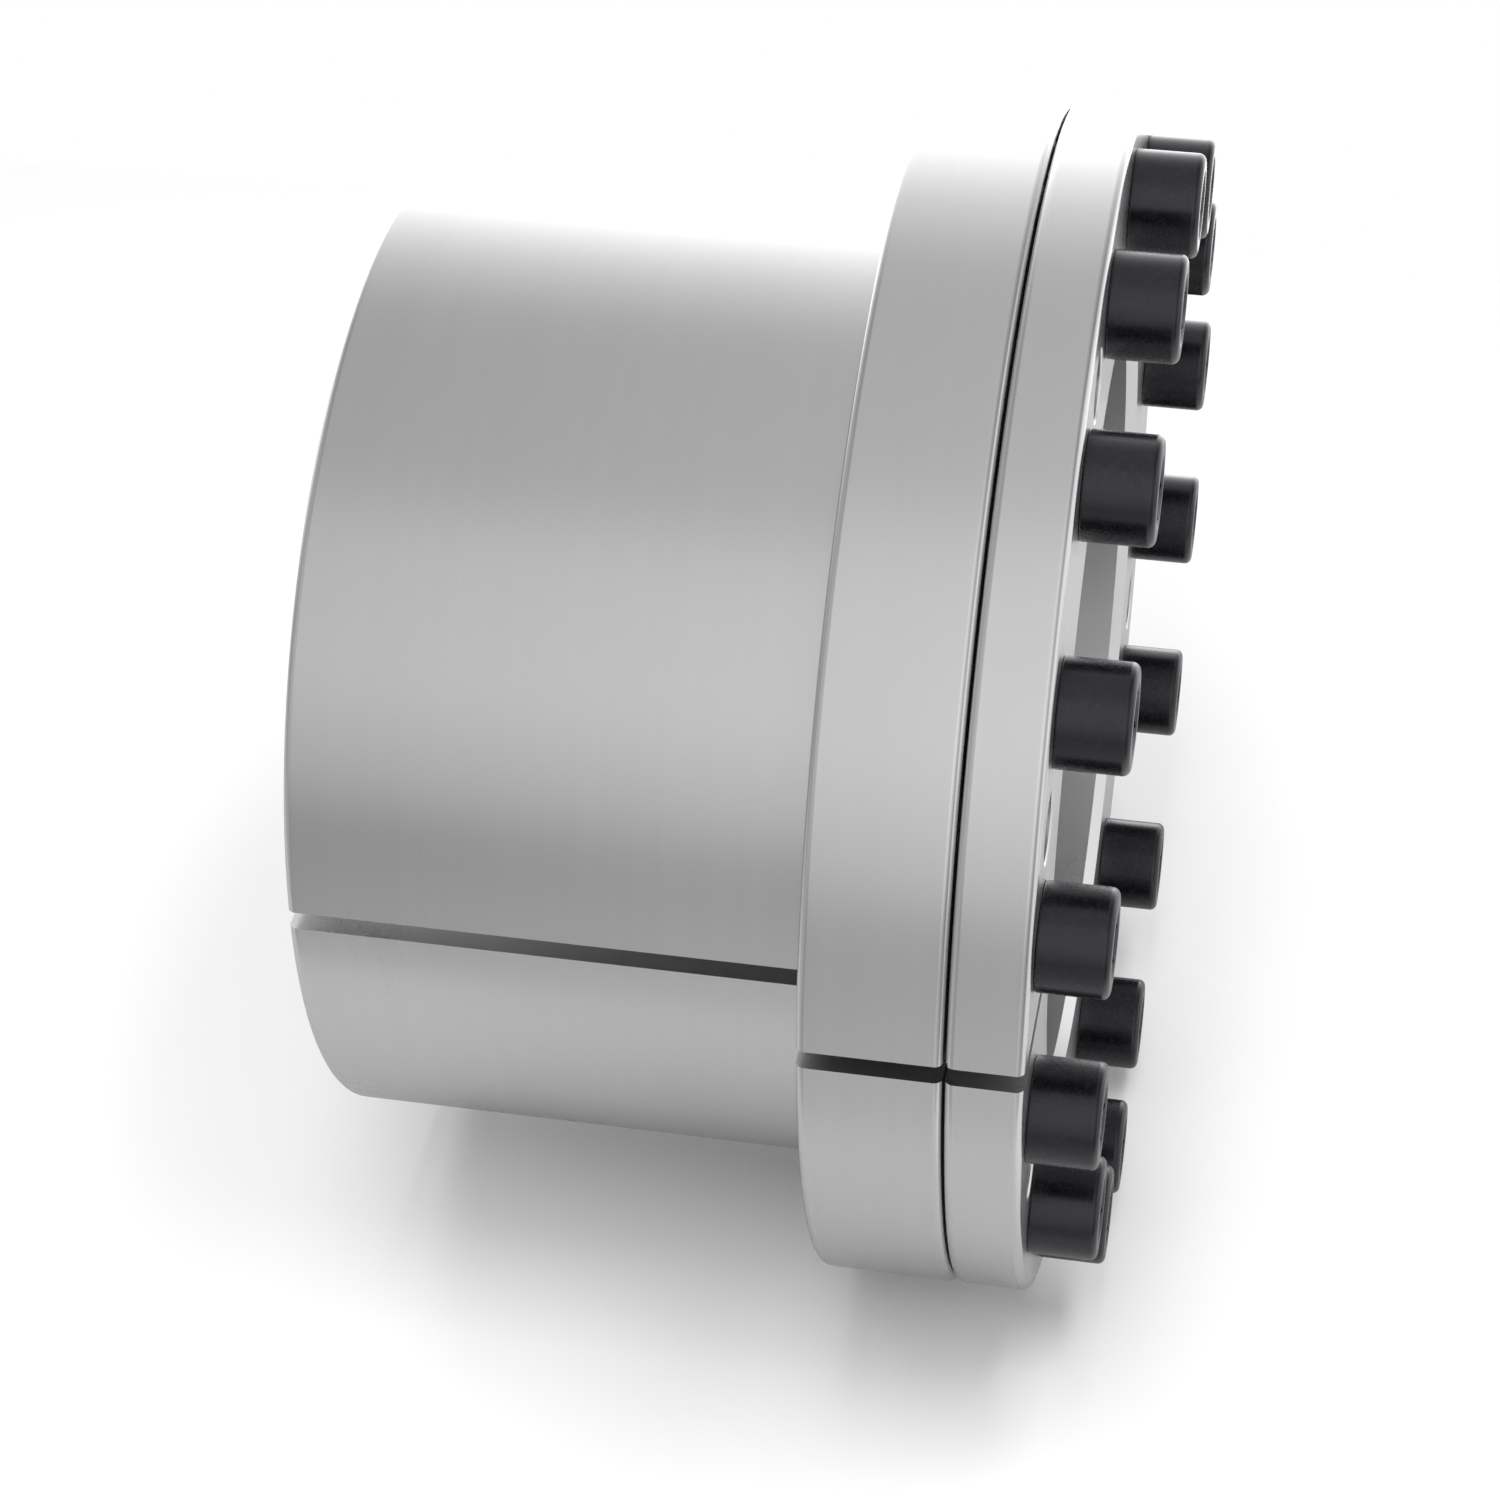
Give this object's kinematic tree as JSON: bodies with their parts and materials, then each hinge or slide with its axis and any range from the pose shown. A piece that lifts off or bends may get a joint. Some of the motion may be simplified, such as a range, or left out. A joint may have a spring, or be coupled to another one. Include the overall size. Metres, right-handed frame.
{
  "type": "keyless locking assembly",
  "caption": "Flanged keyless locking assembly: cap screws draw a slit tapered inner ring into a slit outer sleeve, so it grips a shaft inside and a hub outside.",
  "frame": {"origin": "centre of the outer sleeve's free end face, on the shaft axis", "axes": "+Z along the shaft axis from the sleeve's free end towards the screw heads; +X through the slit of both rings"},
  "size_m": [0.215, 0.215, 0.139],
  "materials": {
    "outer_ring_steel": "fine turned and ground, satin, lightly oiled",
    "inner_ring_steel": "fine turned, satin, lightly oiled",
    "screw_black": "black oxide, low sheen"
  },
  "bodies": {
    "outer_ring": {"outer_ring": "outer_ring_steel"},
    "inner_ring": {"inner_ring": "inner_ring_steel"},
    "screw_01": {"screw_01": "screw_black"},
    "screw_02": {"screw_02": "screw_black"},
    "screw_03": {"screw_03": "screw_black"},
    "screw_04": {"screw_04": "screw_black"},
    "screw_05": {"screw_05": "screw_black"},
    "screw_06": {"screw_06": "screw_black"},
    "screw_07": {"screw_07": "screw_black"},
    "screw_08": {"screw_08": "screw_black"},
    "screw_09": {"screw_09": "screw_black"},
    "screw_10": {"screw_10": "screw_black"},
    "screw_11": {"screw_11": "screw_black"},
    "screw_12": {"screw_12": "screw_black"},
    "screw_13": {"screw_13": "screw_black"},
    "screw_14": {"screw_14": "screw_black"},
    "screw_15": {"screw_15": "screw_black"},
    "screw_16": {"screw_16": "screw_black"}
  },
  "joints": [
    {"name": "ring_slide", "type": "slide", "parent": "outer_ring", "child": "inner_ring", "axis": [0, 0, 1], "range_m": [0, 0.0035]},
    {"name": "screw_01_turn", "type": "hinge", "parent": "inner_ring", "child": "screw_01", "pos_m": [0.09219, 0.01834, 0.127], "axis": [0, 0, 1], "range_deg": [0, 720]},
    {"name": "screw_02_turn", "type": "hinge", "parent": "inner_ring", "child": "screw_02", "pos_m": [0.07816, 0.05222, 0.127], "axis": [0, 0, 1], "range_deg": [0, 720]},
    {"name": "screw_03_turn", "type": "hinge", "parent": "inner_ring", "child": "screw_03", "pos_m": [0.05222, 0.07816, 0.127], "axis": [0, 0, 1], "range_deg": [0, 720]},
    {"name": "screw_04_turn", "type": "hinge", "parent": "inner_ring", "child": "screw_04", "pos_m": [0.01834, 0.09219, 0.127], "axis": [0, 0, 1], "range_deg": [0, 720]},
    {"name": "screw_05_turn", "type": "hinge", "parent": "inner_ring", "child": "screw_05", "pos_m": [-0.01834, 0.09219, 0.127], "axis": [0, 0, 1], "range_deg": [0, 720]},
    {"name": "screw_06_turn", "type": "hinge", "parent": "inner_ring", "child": "screw_06", "pos_m": [-0.05222, 0.07816, 0.127], "axis": [0, 0, 1], "range_deg": [0, 720]},
    {"name": "screw_07_turn", "type": "hinge", "parent": "inner_ring", "child": "screw_07", "pos_m": [-0.07816, 0.05222, 0.127], "axis": [0, 0, 1], "range_deg": [0, 720]},
    {"name": "screw_08_turn", "type": "hinge", "parent": "inner_ring", "child": "screw_08", "pos_m": [-0.09219, 0.01834, 0.127], "axis": [0, 0, 1], "range_deg": [0, 720]},
    {"name": "screw_09_turn", "type": "hinge", "parent": "inner_ring", "child": "screw_09", "pos_m": [-0.09219, -0.01834, 0.127], "axis": [0, 0, 1], "range_deg": [0, 720]},
    {"name": "screw_10_turn", "type": "hinge", "parent": "inner_ring", "child": "screw_10", "pos_m": [-0.07816, -0.05222, 0.127], "axis": [0, 0, 1], "range_deg": [0, 720]},
    {"name": "screw_11_turn", "type": "hinge", "parent": "inner_ring", "child": "screw_11", "pos_m": [-0.05222, -0.07816, 0.127], "axis": [0, 0, 1], "range_deg": [0, 720]},
    {"name": "screw_12_turn", "type": "hinge", "parent": "inner_ring", "child": "screw_12", "pos_m": [-0.01834, -0.09219, 0.127], "axis": [0, 0, 1], "range_deg": [0, 720]},
    {"name": "screw_13_turn", "type": "hinge", "parent": "inner_ring", "child": "screw_13", "pos_m": [0.01834, -0.09219, 0.127], "axis": [0, 0, 1], "range_deg": [0, 720]},
    {"name": "screw_14_turn", "type": "hinge", "parent": "inner_ring", "child": "screw_14", "pos_m": [0.05222, -0.07816, 0.127], "axis": [0, 0, 1], "range_deg": [0, 720]},
    {"name": "screw_15_turn", "type": "hinge", "parent": "inner_ring", "child": "screw_15", "pos_m": [0.07816, -0.05222, 0.127], "axis": [0, 0, 1], "range_deg": [0, 720]},
    {"name": "screw_16_turn", "type": "hinge", "parent": "inner_ring", "child": "screw_16", "pos_m": [0.09219, -0.01834, 0.127], "axis": [0, 0, 1], "range_deg": [0, 720]}
  ],
  "couplings": [
    {"joint": "screw_01_turn", "follows": "ring_slide", "rad_per_m": 3590.4},
    {"joint": "screw_02_turn", "follows": "ring_slide", "rad_per_m": 3590.4},
    {"joint": "screw_03_turn", "follows": "ring_slide", "rad_per_m": 3590.4},
    {"joint": "screw_04_turn", "follows": "ring_slide", "rad_per_m": 3590.4},
    {"joint": "screw_05_turn", "follows": "ring_slide", "rad_per_m": 3590.4},
    {"joint": "screw_06_turn", "follows": "ring_slide", "rad_per_m": 3590.4},
    {"joint": "screw_07_turn", "follows": "ring_slide", "rad_per_m": 3590.4},
    {"joint": "screw_08_turn", "follows": "ring_slide", "rad_per_m": 3590.4},
    {"joint": "screw_09_turn", "follows": "ring_slide", "rad_per_m": 3590.4},
    {"joint": "screw_10_turn", "follows": "ring_slide", "rad_per_m": 3590.4},
    {"joint": "screw_11_turn", "follows": "ring_slide", "rad_per_m": 3590.4},
    {"joint": "screw_12_turn", "follows": "ring_slide", "rad_per_m": 3590.4},
    {"joint": "screw_13_turn", "follows": "ring_slide", "rad_per_m": 3590.4},
    {"joint": "screw_14_turn", "follows": "ring_slide", "rad_per_m": 3590.4},
    {"joint": "screw_15_turn", "follows": "ring_slide", "rad_per_m": 3590.4},
    {"joint": "screw_16_turn", "follows": "ring_slide", "rad_per_m": 3590.4}
  ]
}
